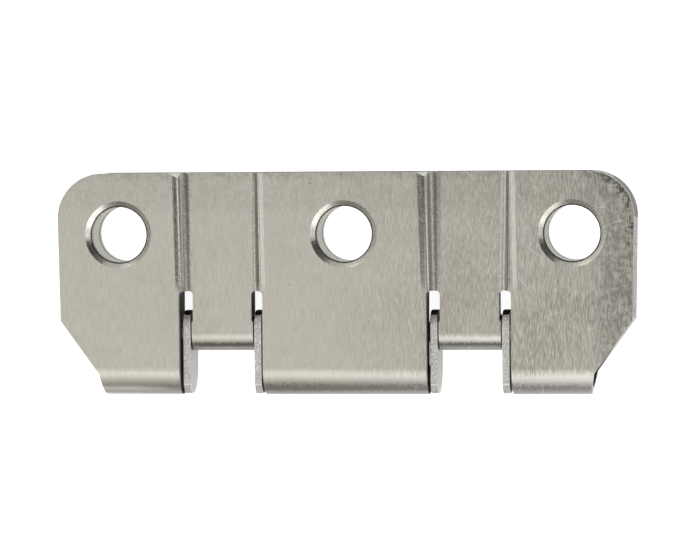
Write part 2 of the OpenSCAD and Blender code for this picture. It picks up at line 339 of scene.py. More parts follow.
def makeBrushedSteel(name, finish):
    material, tree, shader = startMaterial(name)
    place = addNode(tree, "ShaderNodeAttribute", attribute_name="flatPlace").outputs["Vector"]
    turn = addNode(tree, "ShaderNodeAttribute", attribute_name="bendTurn").outputs["Fac"]
    spot = addNode(tree, "ShaderNodeTexCoord").outputs["Object"]
    across = addNode(tree, "ShaderNodeSeparateXYZ", {0: place}).outputs[0]
    grain = useGroup(tree, brushedGrain, Place=place, Fineness=finish["fineness"],
        Length=finish["strokeLength"])
    fleck = useGroup(tree, brushedGrain, Place=place, Fineness=finish["fleck"],
        Length=finish["fleckLength"])["Grain"]
    grit = useGroup(tree, tumbledGrit, Place=spot, Grit=finish["grit"])
    specks = useGroup(tree, darkSpecks, Place=place, Share=finish["speckShare"])["Mask"]
    cloud = addNode(tree, "ShaderNodeTexNoise", {"Vector": place, "Scale": finish["cloudScale"],
        "Detail": 4.0, "Roughness": 0.6}).outputs[0]
    # Flecks of wear, and painted shade that darkens the sheet towards its right-hand end
    wearAndShade = product(tree, remap(tree, across, *finish["wearAndShade"], smooth=True),
        remap(tree, cloud, *finish["wearAndShadeClouds"]))
    scratch = product(tree,
        strongest(tree, [useGroup(tree, strayScratches, Place=place, **stroke)["Mask"]
            for stroke in finish["scratches"]]),
        remap(tree, across, *finish["scratchFade"]))
    # Strokes stop where the sheet turns, and a fine grit takes over
    bent = remap(tree, turn, *finish["strokesStop"], smooth=True)
    straight = mathNode(tree, "SUBTRACT", 1.0, bent)
    wearAndShade = product(tree, wearAndShade, mathNode(tree, "MULTIPLY_ADD", bent, -finish["bendSpared"], 1.0))
    darkReflectionBand = paintedDarkReflection(tree, turn, across, grit, finish)
    stroke = shake(tree, 0.5, grain["Grain"], product(tree, straight, finish["grain"]))
    tone = mixColour(tree, stroke, finish["darkColour"], finish["lightColour"])
    tone = mixColour(tree, product(tree, grain["Streak"], straight, finish["streak"]), tone,
        finish["streakColour"])
    tone = mixColour(tree, remap(tree, cloud, *finish["clouding"]), tone, finish["darkColour"])
    tone = mixColour(tree, product(tree, remap(tree, fleck, 0.75, 0.1), wearAndShade, finish["marringAndShade"]), tone,
        finish["marredAndShadeColour"])
    tone = mixColour(tree, product(tree, remap(tree, fleck, 0.55, 1.0), wearAndShade, finish["raised"]), tone,
        finish["raisedColour"])
    paintedLines = product(tree, sumMarks(tree, spot, shadeLines),
        remap(tree, grit["Grit"], *finish["shadeLineGrit"]))
    # Painted shade: the dark band on the bends, the shade round the corner and the shade lines at the joggles
    paintedShade = strongest(tree, [darkReflectionBand, paintCornerShade(tree, spot, fleck, grit["Patch"], finish), paintedLines])
    tone = mixColour(tree, paintedShade, tone, finish["paintedShadeColour"])
    # Painted highlight on the bends, stronger to the right, and along the joggle folds
    bendHighlight = product(tree, remap(tree, across, *finish["bendHighlight"]), bent,
        mathNode(tree, "SUBTRACT", 1.0, darkReflectionBand))
    tone = mixColour(tree, mathNode(tree, "MAXIMUM", sumMarks(tree, spot, highlightLines), bendHighlight), tone,
        finish["highlightColour"])
    tone = mixColour(tree, product(tree, specks, finish["specks"]), tone, finish["speckColour"])
    tone = mixColour(tree, product(tree, scratch, finish["scratched"]), tone, finish["scratchColour"])
    tree.links.new(tone, shader.inputs["Base Color"])
    shader.inputs["Metallic"].default_value = 1.0
    shader.inputs["Anisotropic"].default_value = finish["anisotropy"]
    tangent = addNode(tree, "ShaderNodeTangent", direction_type="UV_MAP", uv_map="sheetFlat")
    tree.links.new(tangent.outputs[0], shader.inputs["Tangent"])
    rough = remap(tree, grain["Grain"], 0.0, 1.0, finish["roughness"] + 0.06, finish["roughness"] - 0.05)
    tree.links.new(mathNode(tree, "MULTIPLY_ADD", scratch, -finish["scratchGloss"], rough),
        shader.inputs["Roughness"])
    height = mathNode(tree, "MULTIPLY_ADD", scratch, -finish["scratchDepth"],
        product(tree, grain["Grain"], straight))
    height = mathNode(tree, "MULTIPLY_ADD", specks, -finish["speckDepth"], height)
    gritty = mathNode(tree, "MAXIMUM", paintedShade, product(tree, bent, finish["bendGrit"]))
    height = mathNode(tree, "MULTIPLY_ADD", product(tree, grit["Grit"], gritty), finish["gritDepth"],
        height)
    height = mathNode(tree, "MULTIPLY_ADD", product(tree, fleck, wearAndShade), finish["fleckDepth"], height)
    bump = addNode(tree, "ShaderNodeBump", {"Strength": finish["bump"], "Distance": 0.00002,
        "Height": height})
    tree.links.new(bump.outputs[0], shader.inputs["Normal"])
    return material


def chamferFootAndShade(tree, place, grit, finish):
    # A dark ring at the foot of each chamfer, and patches of painted shade on set sides of it
    across, along, up = addNode(tree, "ShaderNodeSeparateXYZ", {0: place}).outputs
    nearest = mathNode(tree, "ROUND", mathNode(tree, "DIVIDE", across, holePitch))
    arm = addNode(tree, "ShaderNodeCombineXYZ", {
        0: mathNode(tree, "MULTIPLY_ADD", nearest, -holePitch, across),
        1: mathNode(tree, "SUBTRACT", along, holeY)}).outputs[0]
    radius = vectorMath(tree, "LENGTH", arm)
    way = vectorMath(tree, "NORMALIZE", arm)
    masks = [remap(tree, radius, finish["darkFootRadius"] + 0.0001, finish["darkFootRadius"])]
    for heading, halfAngle, strength in finish["shadePatches"]:
        towards = (math.cos(math.radians(heading)), math.sin(math.radians(heading)), 0.0)
        share = shake(tree, vectorMath(tree, "DOT_PRODUCT", way, towards), grit, 0.12)
        edge = math.cos(math.radians(halfAngle))
        masks.append(product(tree, remap(tree, share, edge - 0.03, edge + 0.05, smooth=True), strength))
    return strongest(tree, masks)


def makeTumbledSteel(name, finish):
    material, tree, shader = startMaterial(name)
    place = addNode(tree, "ShaderNodeTexCoord").outputs["Object"]
    across, along, up = addNode(tree, "ShaderNodeSeparateXYZ", {0: place}).outputs
    grit = useGroup(tree, tumbledGrit, Place=place, Grit=finish["grit"])
    tone = mixColour(tree, grit["Grit"], finish["darkColour"], finish["lightColour"])
    tone = mixColour(tree, product(tree, grit["Patch"], finish["patch"]), tone, finish["patchColour"])
    if "lighterAbove" in finish:
        # Painted shade deep in the slots; the walls are lighter near the top
        bright = mixColour(tree, grit["Grit"], finish["aboveDark"], finish["aboveLight"])
        tone = mixColour(tree, remap(tree, up, *finish["lighterAbove"]), tone, bright)
    if "lighterReach" in finish:
        # Painted shade between the two walls, lighter towards the straight edge
        tone = mixColour(tree, remap(tree, along, *finish["lighterReach"], smooth=True), tone,
            finish["lighterColour"])
    if "darkFootRadius" in finish:
        tone = mixColour(tree, chamferFootAndShade(tree, place, grit["Grit"], finish), tone,
            finish["footAndShadeColour"])
    # Painted shade lines along the joggle folds, and painted highlight lines on them
    if "shadeLineGrit" in finish:
        paintedLines = product(tree, sumMarks(tree, place, shadeLines),
            remap(tree, grit["Grit"], *finish["shadeLineGrit"]))
        tone = mixColour(tree, paintedLines, tone, finish["shadeLineColour"])
        tone = mixColour(tree, sumMarks(tree, place, highlightLines), tone, finish["highlightColour"])
    tree.links.new(tone, shader.inputs["Base Color"])
    shader.inputs["Metallic"].default_value = 1.0
    tree.links.new(remap(tree, grit["Grit"], 0.0, 1.0, finish["roughness"] + 0.08,
        finish["roughness"] - 0.08), shader.inputs["Roughness"])
    bump = addNode(tree, "ShaderNodeBump", {"Strength": finish["bump"], "Distance": 0.00004,
        "Height": mathNode(tree, "ADD", grit["Grit"], grit["Patch"])})
    tree.links.new(bump.outputs[0], shader.inputs["Normal"])
    return material


# A pair of numbers is where an effect starts and is full. Two more are its strengths there
panelFinish = {
    "roughness": 0.36, "anisotropy": 0.6, "bump": 0.45, "grain": 0.7, "fineness": 8000.0,
    "strokeLength": 420.0, "grit": 4800.0, "gritDepth": 1.5, "cloudScale": 70.0, "streak": 0.3,
    "clouding": (0.5, 0.75, 0.0, 0.25),
    # Bends, in degrees of turn
    # The band and its tail are painted dark reflection on the bends
    "strokesStop": (8.0, 32.0), "darkReflectionStart": (31.0, 46.0), "darkReflectionEnd": (68.0, 56.0), "darkReflectionBand": 0.84,
    "darkReflectionWaves": 3.5, "darkReflectionGrit": 14.0, "darkReflectionTailStart": (45.0, 60.0), "bendGrit": 0.45, "bendSpared": 0.65,
    # Across the slat, in metres
    "darkReflectionFade": (-0.044, -0.027, 0.2, 1.0), "darkReflectionTail": (-0.03, 0.045, 0.45, 0.75),
    "bendHighlight": (-0.01, 0.045, 0.0, 0.85), "wearAndShade": (-0.015, 0.042, 0.12, 1.0),
    "scratchFade": (-0.03, 0.05, 0.25, 1.0),
    # Wear, and painted shade
    "wearAndShadeClouds": (0.3, 0.6, 0.6, 1.15), "fleck": 8600.0, "fleckLength": 614.3, "fleckDepth": 1.2,
    "marringAndShade": 0.58, "raised": 0.42, "shadeLineGrit": (0.25, 0.8, 1.0, 0.4),
    "speckShare": 0.3, "specks": 0.7, "speckDepth": 1.5,
    "scratches": [
        {"Angle": 0.15, "Density": 430.0, "Width": 0.035, "Share": 0.42},
        {"Angle": -0.85, "Density": 310.0, "Width": 0.027, "Share": 0.294},
        {"Angle": 1.35, "Density": 270.0, "Width": 0.024, "Share": 0.147},
    ],
    "scratched": 0.7, "scratchDepth": 0.9, "scratchGloss": 0.12,
    # Painted shade round the right-hand corner
    "cornerShade": 1.25, "cornerShadePlace": (0.04825, 0.0131, 0.0), "cornerShadeStrip": (0.006, 0.0085),
    "cornerShadeCast": (0.0, 0.0032, 0.0, 0.4), "cornerShadeClimb": (0.0, 0.014, 0.35, 1.0),
    "cornerShadeFade": (0.046, 0.054, 0.25, 1.0), "cornerShadeFlecks": (0.15, 0.7, 1.35, 0.55),
    "cornerShadePatches": (0.2, 0.75, 1.0, 0.35),
    # Among these are the colours of painted shade and painted highlight
    "darkColour": (0.50, 0.474, 0.412), "lightColour": (0.73, 0.70, 0.625),
    "streakColour": (0.65, 0.622, 0.548), "paintedShadeColour": (0.10, 0.097, 0.085),
    "marredAndShadeColour": (0.15, 0.14, 0.12), "raisedColour": (0.90, 0.87, 0.79),
    "highlightColour": (0.97, 0.95, 0.90), "speckColour": (0.08, 0.07, 0.06),
    "scratchColour": (0.88, 0.87, 0.84),
}
# Deburred rims, and painted highlight on the bore lands, the corner strips and the dips of the slat
rimAndHighlightFinish = {
    "grit": 5200.0, "roughness": 0.34, "bump": 0.3, "patch": 0.2,
    "darkColour": (0.70, 0.68, 0.63), "lightColour": (0.95, 0.94, 0.90),
    "patchColour": (0.78, 0.76, 0.72),
}
cutFinish = {
    "grit": 4200.0, "roughness": 0.4, "bump": 0.6, "patch": 0.3,
    "darkColour": (0.30, 0.295, 0.28), "lightColour": (1.0, 0.985, 0.95),
    "patchColour": (0.42, 0.41, 0.38),
}
pressedFinish = {
    "grit": 4600.0, "roughness": 0.26, "bump": 0.4, "patch": 0.25,
    "darkColour": (0.42, 0.40, 0.36), "lightColour": (0.74, 0.71, 0.65),
    "patchColour": (0.5, 0.48, 0.43),
    # Painted shade lines and painted highlight lines along the joggle folds
    "shadeLineGrit": (0.2, 0.8, 1.0, 0.45), "shadeLineColour": (0.045, 0.043, 0.036),
    "highlightColour": (0.97, 0.95, 0.90),
}
chamferFinish = {
    "grit": 3200.0, "roughness": 0.26, "bump": 0.13, "patch": 0.3,
    "darkColour": (0.68, 0.66, 0.60), "lightColour": (0.95, 0.93, 0.87),
    "patchColour": (0.70, 0.68, 0.62),
    # Each patch of painted shade has a heading in degrees from +X, half its width in degrees, and a strength
    "darkFootRadius": 0.00568, "footAndShadeColour": (0.05, 0.048, 0.04),
    "shadePatches": [(216.0, 26.0, 0.75), (88.0, 9.0, 0.4)],
}
# Near-black: painted shade in the slots and on the plates' round ends, and grime at the sleeves' joints
shadeAndGrimeFinish = {
    "grit": 3000.0, "roughness": 0.6, "bump": 0.5, "patch": 0.5,
    "darkColour": (0.008, 0.008, 0.007), "lightColour": (0.03, 0.028, 0.025),
    "patchColour": (0.008, 0.008, 0.007),
    "lighterAbove": (0.0082, 0.0095), "aboveDark": (0.35, 0.345, 0.33), "aboveLight": (0.8, 0.79, 0.76),
}
# Painted shade for the faces between the two walls
insideShadeFinish = {
    "grit": 2600.0, "roughness": 0.55, "bump": 0.4, "patch": 0.4,
    "darkColour": (0.07, 0.067, 0.06), "lightColour": (0.20, 0.195, 0.18),
    "patchColour": (0.10, 0.096, 0.09),
    "lighterReach": (-0.0095, -0.0015), "lighterColour": (0.42, 0.415, 0.41),
}
linkFinish = {
    "grit": 3000.0, "roughness": 0.42, "bump": 0.2, "patch": 0.3,
    "darkColour": (0.58, 0.58, 0.57), "lightColour": (0.72, 0.72, 0.71),
    "patchColour": (0.62, 0.62, 0.61),
}
turnedFinish = {
    "grit": 2600.0, "roughness": 0.38, "bump": 0.08, "patch": 0.2,
    "darkColour": (0.72, 0.715, 0.66), "lightColour": (0.84, 0.835, 0.77),
    "patchColour": (0.76, 0.755, 0.70),
}
panelSteel = makeBrushedSteel("brushedPanelSteel", panelFinish)
rimAndHighlightSteel = makeTumbledSteel("deburredRimAndHighlightSteel", rimAndHighlightFinish)
cutSteel = makeTumbledSteel("shearedCutSteel", cutFinish)
pressedSteel = makeTumbledSteel("pressedJoggleSteel", pressedFinish)
shadeAndGrimeSteel = makeTumbledSteel("paintedShadeAndGrimeSteel", shadeAndGrimeFinish)
chamferSteel = makeTumbledSteel("chamferSteel", chamferFinish)
insideShadeSteel = makeTumbledSteel("paintedInsideShadeSteel", insideShadeFinish)
linkSteel = makeTumbledSteel("linkFaceSteel", linkFinish)
turnedSteel = makeTumbledSteel("turnedSteel", turnedFinish)
print("stage: materials made")


def addObject(name, data):
    added = bpy.data.objects.new(name, data)
    bpy.context.scene.collection.objects.link(added)
    return added


def applyModifiers(piece, name):
    # A plain object in place of one with modifiers
    graph = bpy.context.evaluated_depsgraph_get()
    finished = bpy.data.meshes.new_from_object(piece.evaluated_get(graph))
    bpy.data.objects.remove(piece)
    return addObject(name, finished)


def cleanCopy(node):
    mesh = frame["nodes"][node].data.copy()
    solid = bmesh.new()
    solid.from_mesh(mesh)
    bmesh.ops.remove_doubles(solid, verts=solid.verts, dist=0.000001)
    bmesh.ops.dissolve_degenerate(solid, edges=solid.edges, dist=0.000001)
    bmesh.ops.dissolve_limit(solid, angle_limit=math.radians(0.6), verts=solid.verts, edges=solid.edges)
    solid.to_mesh(mesh)
    solid.free()
    return mesh


def settleNormals(mesh, rimIndex=-1):
    # Flats stay flat, bends run smooth, and each broken edge rolls from one neighbour to the other
    solid = bmesh.new()
    solid.from_mesh(mesh)
    alike = math.cos(math.radians(25))
    beside = math.cos(math.radians(62))
    normals = []
    for face in solid.faces:
        isRim = face.material_index == rimIndex
        limit = beside if isRim else alike
        for corner in face.loops:
            around = [other for other in corner.vert.link_faces
                if other.material_index != rimIndex and other.normal.dot(face.normal) > limit]
            around = around or [other for other in corner.vert.link_faces
                if other.normal.dot(face.normal) > beside]
            total = Vector()
            for other in around:
                total += other.normal * other.calc_area()
            normals.append((total if total.length > 0 else face.normal).normalized()[:])
    solid.free()
    for face in mesh.polygons:
        face.use_smooth = True
    mesh.normals_split_custom_set(normals)


# The slat: its edges, the spread of its joggles, the dips they pull, and the rear wall's slanted shear
slat = {
    "edgeBreak": 0.16 * mm, "leftSpread": 0.95 * mm, "rightSpread": 0.8 * mm, "closing": 0.35 * mm,
    "offset": 0.6 * mm, "run": 2.5 * mm, "dipDepth": 0.95 * mm, "dipReach": 2.1 * mm,
    "dipThrough": 0.8 * mm, "slant": 0.6 * mm,
}
# The joggles that step down to the right start here
dips = (-slotOuter, slotInner)


def joggleShare(x):
    # The side of its strap that x lies on, and 1 where the joggle leaves the panel, 0 at the strap
    strapX = (slotOuter + slotInner) / 2
    zoneHalf = (slotOuter - slotInner) / 2
    away = x - math.copysign(strapX, x)
    return math.copysign(1, away), (abs(away) - zoneHalf + slat["run"]) / slat["run"]


def spreadJoggles(solid):
    # Towards the straight edge, joggles that step down to the right spread out, and the others close up
    for vertex in solid.verts:
        if vertex.co.z <= thickness / 2:
            continue
        side, share = joggleShare(vertex.co.x)
        rise = (vertex.co.y - slotEnd) / (slatHigh.y - slotEnd)
        if rise > 0 and 0 < share < 1.3:
            spread = slat["leftSpread" if vertex.co.x < 0 else "rightSpread"]
            vertex.co.x += side * (spread if side < 0 else -slat["closing"]) * share * rise
        if side > 0 and vertex.co.x > 0 and -0.3 < share < 1.3:
            vertex.co.x += slat["offset"] * min(max(rise * 4, 0), 1)


def dipEdge(solid):
    # Each spread joggle pulls the straight edge into a dip, through the thickness of the sheet
    for dip in dips:
        for place in (-slat["dipReach"], 0, slat["dipReach"]):
            bmesh.ops.bisect_plane(solid, geom=solid.verts[:] + solid.edges[:] + solid.faces[:],
                plane_co=(dip + place, 0, 0), plane_no=(1, 0, 0), dist=1e-6)
        for vertex in solid.verts:
            nearness = 1 - abs(vertex.co.x - dip) / slat["dipReach"]
            share = joggleShare(vertex.co.x - 0.3 * mm)[1]
            rearSide = slatHigh.z - slat["dipThrough"] - 2 * mm * min(max(1 - share, 0), 1)
            if nearness > 0 and vertex.co.y > slatHigh.y - 0.01 * mm and vertex.co.z > rearSide:
                vertex.co.y -= slat["dipDepth"] * nearness


def slantRearWall(solid):
    # The inner edge of the rear wall's sides stands back, as the shear left it
    slanted = {}
    for face in solid.faces:
        centre = face.calc_center_median()
        if face.normal.x * math.copysign(1, centre.x) < 0.1 or abs(centre.x) < holePitch + mm:
            continue
        for vertex in face.verts:
            if abs(vertex.co.z - sheet) < 0.06 * mm and vertex.co.y > -12 * mm:
                slanted.setdefault(vertex, []).append(face.normal.copy())
    for vertex, normals in slanted.items():
        normal = sum(normals, Vector()) / len(normals)
        vertex.co.x -= slat["slant"] * normal.x
        vertex.co.y -= slat["slant"] * normal.y


def shapeSheet(mesh):
    solid = bmesh.new()
    solid.from_mesh(mesh)
    spreadJoggles(solid)
    dipEdge(solid)
    solid.normal_update()
    slantRearWall(solid)
    solid.to_mesh(mesh)
    solid.free()


def breakEdges(piece, materials, width):
    # Rounds the sharp edges, with the last material on them, and settles the shading
    bevel = piece.modifiers.new("brokenEdges", "BEVEL")
    bevel.width = width
    bevel.segments = 2
    bevel.limit_method = "ANGLE"
    bevel.angle_limit = math.radians(35)
    bevel.material = len(materials) - 1
    bevel.harden_normals = False
    bevel.use_clamp_overlap = True
    slots = piece.data.materials
    order = [materials.index(slot) if slot else 0 for slot in slots] or [0]
    places = [order[face.material_index] for face in piece.data.polygons]
    slots.clear()
    for material in materials:
        slots.append(material)
    piece.data.polygons.foreach_set("material_index", places)
    piece = applyModifiers(piece, piece.name)
    settleNormals(piece.data, len(materials) - 1)
    return piece


def unrolled(place):
    # Distance along the sheet from the straight edge down over the bend or the eye, and the turn so far.
    # The painted dark reflection band comes a little earlier on the tight eyes
    centreY, centreZ, radius, early = bendY, bendRadius, bendRadius, 0.0
    if abs(abs(place.x) - pinX) < pinX - innerPlateHigh.x and place.z > slatLow.z + sheet + 0.1 * mm:
        centreY, centreZ, radius, early = eyeY, eyeZ, eyeRadius, 10.0
    if place.y >= centreY:
        front = place.z > centreZ
        return (place.y, 0.0) if front else (2 * centreY - math.pi * radius - place.y, 180.0)
    turn = math.atan2(centreY - place.y, place.z - centreZ)
    return centreY - radius * turn, math.degrees(turn) + early * min(turn, 1.0)


def addFlatPlace(mesh):
    # Lets the brushing follow the sheet round its bends: a place, a turn and a map for the tangent
    spots = [unrolled(vertex.co) for vertex in mesh.vertices]
    places = [part for vertex, (along, turn) in zip(mesh.vertices, spots)
        for part in (vertex.co.x, along, vertex.co.z * 0.2)]
    mesh.attributes.new("flatPlace", "FLOAT_VECTOR", "POINT").data.foreach_set("vector", places)
    mesh.attributes.new("bendTurn", "FLOAT", "POINT").data.foreach_set("value",
        [turn for along, turn in spots])
    flat = [part * 10 + 0.5 for corner in mesh.loops
        for part in (mesh.vertices[corner.vertex_index].co.x, spots[corner.vertex_index][0])]
    mesh.uv_layers.new(name="sheetFlat").data.foreach_set("uv", flat)


slatSteels = {
    "panel": panelSteel, "cut": cutSteel, "pressed": pressedSteel, "slotShade": shadeAndGrimeSteel,
    "chamfer": chamferSteel, "paintedHighlightRim": rimAndHighlightSteel, "inside": insideShadeSteel, "edges": rimAndHighlightSteel,
}


def steelOf(face):
    # Which finish a face of the slat has, by where it lies and the way it faces
    centre, normal = face.center, face.normal
    x, y = abs(centre.x), centre.y
    lying = abs(normal.z)
    front = centre.z > thickness / 2
    sideways = abs(normal.x) > 0.93
    outwards = normal.x * centre.x > 0
    corner = lying < 0.35 and x > slatHigh.x - 16 * mm and outwards
    topEdge = normal.y > 0.6 and y > slatHigh.y - 1.2 * mm
    inDip = min(abs(centre.x - dip) for dip in dips) < 2.3 * mm
    inSlots = slotInner - mm < x < slotOuter + mm and y < slotEnd + mm
    fromHole = max(abs(y - holeY), min(x, abs(x - holePitch)))
    fromBend = math.hypot(y - bendY, centre.z - bendRadius)
    between = mm < centre.z < thickness - mm and abs(normal.x) < 0.5 and abs(x - pinX) > 8 * mm
    # Painted shade on the walls in and beside the slots
    if inSlots and (sideways or (lying < 0.3 and y > slotEnd - mm)):
        return "slotShade"
    if 0.6 < normal.z < 0.8 and fromHole < 7 * mm:
        return "chamfer"
    # Painted highlight: bore lands, slanted strips at the corners and the dips take the bright rim finish
    if lying < 0.3 and fromHole < 6 * mm:
        return "paintedHighlightRim"
    if (corner and centre.z < 2 * mm) or (topEdge and inDip and front):
        return "paintedHighlightRim"
    # Painted shade on the faces between the two walls
    if between and (y > bendY or fromBend < bendRadius - mm) and not topEdge:
        return "inside"
    if sideways or topEdge or corner:
        return "cut"
    if abs(normal.x) > 0.05 and y > slotEnd - 2 * mm and front:
        return "pressed"
    return "panel"


slatMesh = cleanCopy("slat_plate")
shapeSheet(slatMesh)
slatMesh.materials.clear()
slatMesh.polygons.foreach_set("material_index", [0] * len(slatMesh.polygons))
slatPlate = addObject("slatPlate", slatMesh)
slatPlate = breakEdges(slatPlate, list(slatSteels.values()), slat["edgeBreak"])
for face in slatPlate.data.polygons:
    if face.material_index == 0:
        face.material_index = list(slatSteels).index(steelOf(face))
addFlatPlace(slatPlate.data)
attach(slatPlate, "slat")
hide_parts("slat_plate")


def newTree(name, inputs):
    geometry = ("Geometry", "NodeSocketGeometry")
    return newGroup(name, [(*geometry, None)] + inputs, [geometry], "GeometryNodeTree")


def repeatAlong(tree, given, part):
    # Count copies of a part, Spacing apart, made into real mesh
    points = addNode(tree, "GeometryNodeMeshLine", {"Count": given["Count"],
        "Start Location": given["Start"], "Offset": given["Spacing"]}, mode="OFFSET")
    placed = addNode(tree, "GeometryNodeInstanceOnPoints", {"Points": points.outputs[0], "Instance": part})
    return addNode(tree, "GeometryNodeRealizeInstances", {0: placed.outputs[0]}).outputs[0]


def paintWhere(tree, geometry, direction, low, high, material):
    # Gives a material to the faces whose normal has a share of the direction between low and high
    normal = addNode(tree, "GeometryNodeInputNormal").outputs[0]
    size = mathNode(tree, "ABSOLUTE", vectorMath(tree, "DOT_PRODUCT", normal, direction))
    inside = product(tree, mathNode(tree, "GREATER_THAN", size, low),
        mathNode(tree, "LESS_THAN", size, high))
    return addNode(tree, "GeometryNodeSetMaterial", {"Geometry": geometry, "Selection": inside,
        "Material": material}).outputs[0]


def makeTurnedTree():
    # Sweeps a profile round a circle, as a lathe would, then lays out the copies
    tree, given, out = newTree("turnedParts", [
        ("Path Radius", "NodeSocketFloat", 0.002), ("Segments", "NodeSocketInt", 48),
        ("Turn", "NodeSocketRotation", None), ("Axis", "NodeSocketVector", (0.0, 0.0, 1.0)),
        ("Count", "NodeSocketInt", 1), ("Start", "NodeSocketVector", None),
        ("Spacing", "NodeSocketVector", None), ("Material", "NodeSocketMaterial", None),
        ("Edge Material", "NodeSocketMaterial", None)])
    profile = addNode(tree, "GeometryNodeMeshToCurve", {"Mesh": given["Geometry"]})
    circle = addNode(tree, "GeometryNodeCurvePrimitiveCircle", {"Resolution": given["Segments"],
        "Radius": given["Path Radius"]}, mode="RADIUS")
    circle = addNode(tree, "GeometryNodeSetCurveNormal", {"Curve": circle.outputs[0]}, mode="Z_UP")
    swept = addNode(tree, "GeometryNodeCurveToMesh", {"Curve": circle.outputs[0],
        "Profile Curve": profile.outputs[0]})
    closed = addNode(tree, "GeometryNodeMergeByDistance", {"Geometry": swept.outputs[0], "Distance": 2e-6})
    turned = addNode(tree, "GeometryNodeTransform", {"Geometry": closed.outputs[0],
        "Rotation": given["Turn"]})
    real = repeatAlong(tree, given, turned.outputs[0])
    dressed = addNode(tree, "GeometryNodeSetMaterial", {"Geometry": real, "Material": given["Material"]})
    tree.links.new(paintWhere(tree, dressed.outputs[0], given["Axis"], 0.3, 0.9, given["Edge Material"]),
        out["Geometry"])
    return tree


def makePairTree():
    # Cuts a plate's outline through its thickness, then lays out the pair
    tree, given, out = newTree("linkPairs", [
        ("Thickness", "NodeSocketFloat", 0.0015), ("Count", "NodeSocketInt", 2),
        ("Start", "NodeSocketVector", None), ("Spacing", "NodeSocketVector", None),
        ("Face Material", "NodeSocketMaterial", None), ("Cut Material", "NodeSocketMaterial", None)])
    through = addNode(tree, "ShaderNodeCombineXYZ", {0: given["Thickness"]})
    far = addNode(tree, "GeometryNodeExtrudeMesh", {"Mesh": given["Geometry"], "Offset": through.outputs[0],
        "Offset Scale": 1.0, "Individual": False}, mode="FACES")
    near = addNode(tree, "GeometryNodeFlipFaces", {"Mesh": given["Geometry"]})
    both = tree.nodes.new("GeometryNodeJoinGeometry")
    tree.links.new(far.outputs[0], both.inputs[0])
    tree.links.new(near.outputs[0], both.inputs[0])
    closed = addNode(tree, "GeometryNodeMergeByDistance", {"Geometry": both.outputs[0], "Distance": 2e-6})
    real = repeatAlong(tree, given, closed.outputs[0])
    dressed = addNode(tree, "GeometryNodeSetMaterial", {"Geometry": real,
        "Material": given["Face Material"]})
    tree.links.new(paintWhere(tree, dressed.outputs[0], (1.0, 0.0, 0.0), -1.0, 0.5, given["Cut Material"]),
        out["Geometry"])
    return tree


def growPiece(name, start, tree, values):
    # Runs a tree on a start mesh and keeps the result as a plain mesh
    seed = addObject(name + "Start", start)
    modifier = seed.modifiers.new("grow", "NODES")
    modifier.node_group = tree
    sockets = {item.name: item.identifier for item in tree.interface.items_tree if item.in_out == "INPUT"}
    for key, value in values.items():
        modifier[sockets[key]] = value
    seed.data.update()
    return applyModifiers(seed, name)


def makeProfile(name, points, closed):
    # Points are (radius, distance along the axis), outwards over the top and down the outside
    mesh = bpy.data.meshes.new(name)
    edges = [(index, index + 1) for index in range(len(points) - 1)]
    mesh.from_pydata([(across, -along, 0.0) for across, along in points],
        edges + ([(len(points) - 1, 0)] if closed else []), [])
    return mesh


turnedParts = makeTurnedTree()
linkPairs = makePairTree()


sleeves = {"edgeBreak": 0.22 * mm, "grime": 0.65 * mm, "segments": 64}
leftLow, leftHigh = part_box("spacer_sleeve_left")
bore, outer, cutBack = holeRadius, (sleeveHigh.x - sleeveLow.x) / 2, sleeves["edgeBreak"]
top = (sleeveHigh.z - sleeveLow.z) / 2
profile = [(bore + cutBack, top), (outer - cutBack, top), (outer, top - cutBack), (outer, cutBack - top),
    (outer - cutBack, -top), (bore + cutBack, -top), (bore, cutBack - top), (bore, sleeves["grime"] - top),
    (bore, top - sleeves["grime"]), (bore, top - cutBack)]
sleevePath = (bore + outer) / 2
spacerSleeves = growPiece("spacerSleeves",
    makeProfile("sleeveProfile", [(across - sleevePath, along) for across, along in profile], True),
    turnedParts, {"Path Radius": sleevePath, "Segments": sleeves["segments"],
        "Axis": (0.0, 0.0, 1.0), "Count": 3, "Start": tuple((leftLow + leftHigh) / 2),
        "Spacing": tuple((sleeveLow + sleeveHigh - leftLow - leftHigh) / 2),
        "Material": turnedSteel, "Edge Material": shadeAndGrimeSteel})
# Grime creeps from the joints into the ends of the bore
for face in spacerSleeves.data.polygons:
    if abs(face.center.z - (sleeveLow.z + sleeveHigh.z) / 2) > top - sleeves["grime"]:
        face.material_index = spacerSleeves.data.materials.find(shadeAndGrimeSteel.name)
settleNormals(spacerSleeves.data)
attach(spacerSleeves, "slat")
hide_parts("spacer_sleeve_left", "spacer_sleeve_middle", "spacer_sleeve_right")


linkPlates = {"edgeBreak": 0.14 * mm}
pins = {"shank": 2.05 * mm, "headHeight": 0.8 * mm, "dome": 2.4, "segments": 40}


def plateOutline(node):
    # The side face of one plate, moved to x = 0
    mesh = cleanCopy(node)
    solid = bmesh.new()
    solid.from_mesh(mesh)
    side = max(face.calc_center_median().x for face in solid.faces)
    away = [face for face in solid.faces
        if face.normal.x < 0.9 or face.calc_center_median().x < side - 1e-5]
    bmesh.ops.delete(solid, geom=away, context="FACES")
    bmesh.ops.translate(solid, verts=solid.verts, vec=(-side, 0, 0))
    solid.to_mesh(mesh)
    solid.free()
    mesh.materials.clear()
    return mesh


def riveted(half, head):
    # From the pole of one domed head, along the shank, to the pole of the other
    inner = half - pins["headHeight"]
    steps = [head * part / 8 for part in range(9)]
    dome = [(across, inner + pins["headHeight"] * (1 - (across / head) ** pins["dome"]))
        for across in steps]
    return dome + [(pins["shank"], inner), (pins["shank"], -inner)] + [(across, -along)
        for across, along in reversed(dome)]


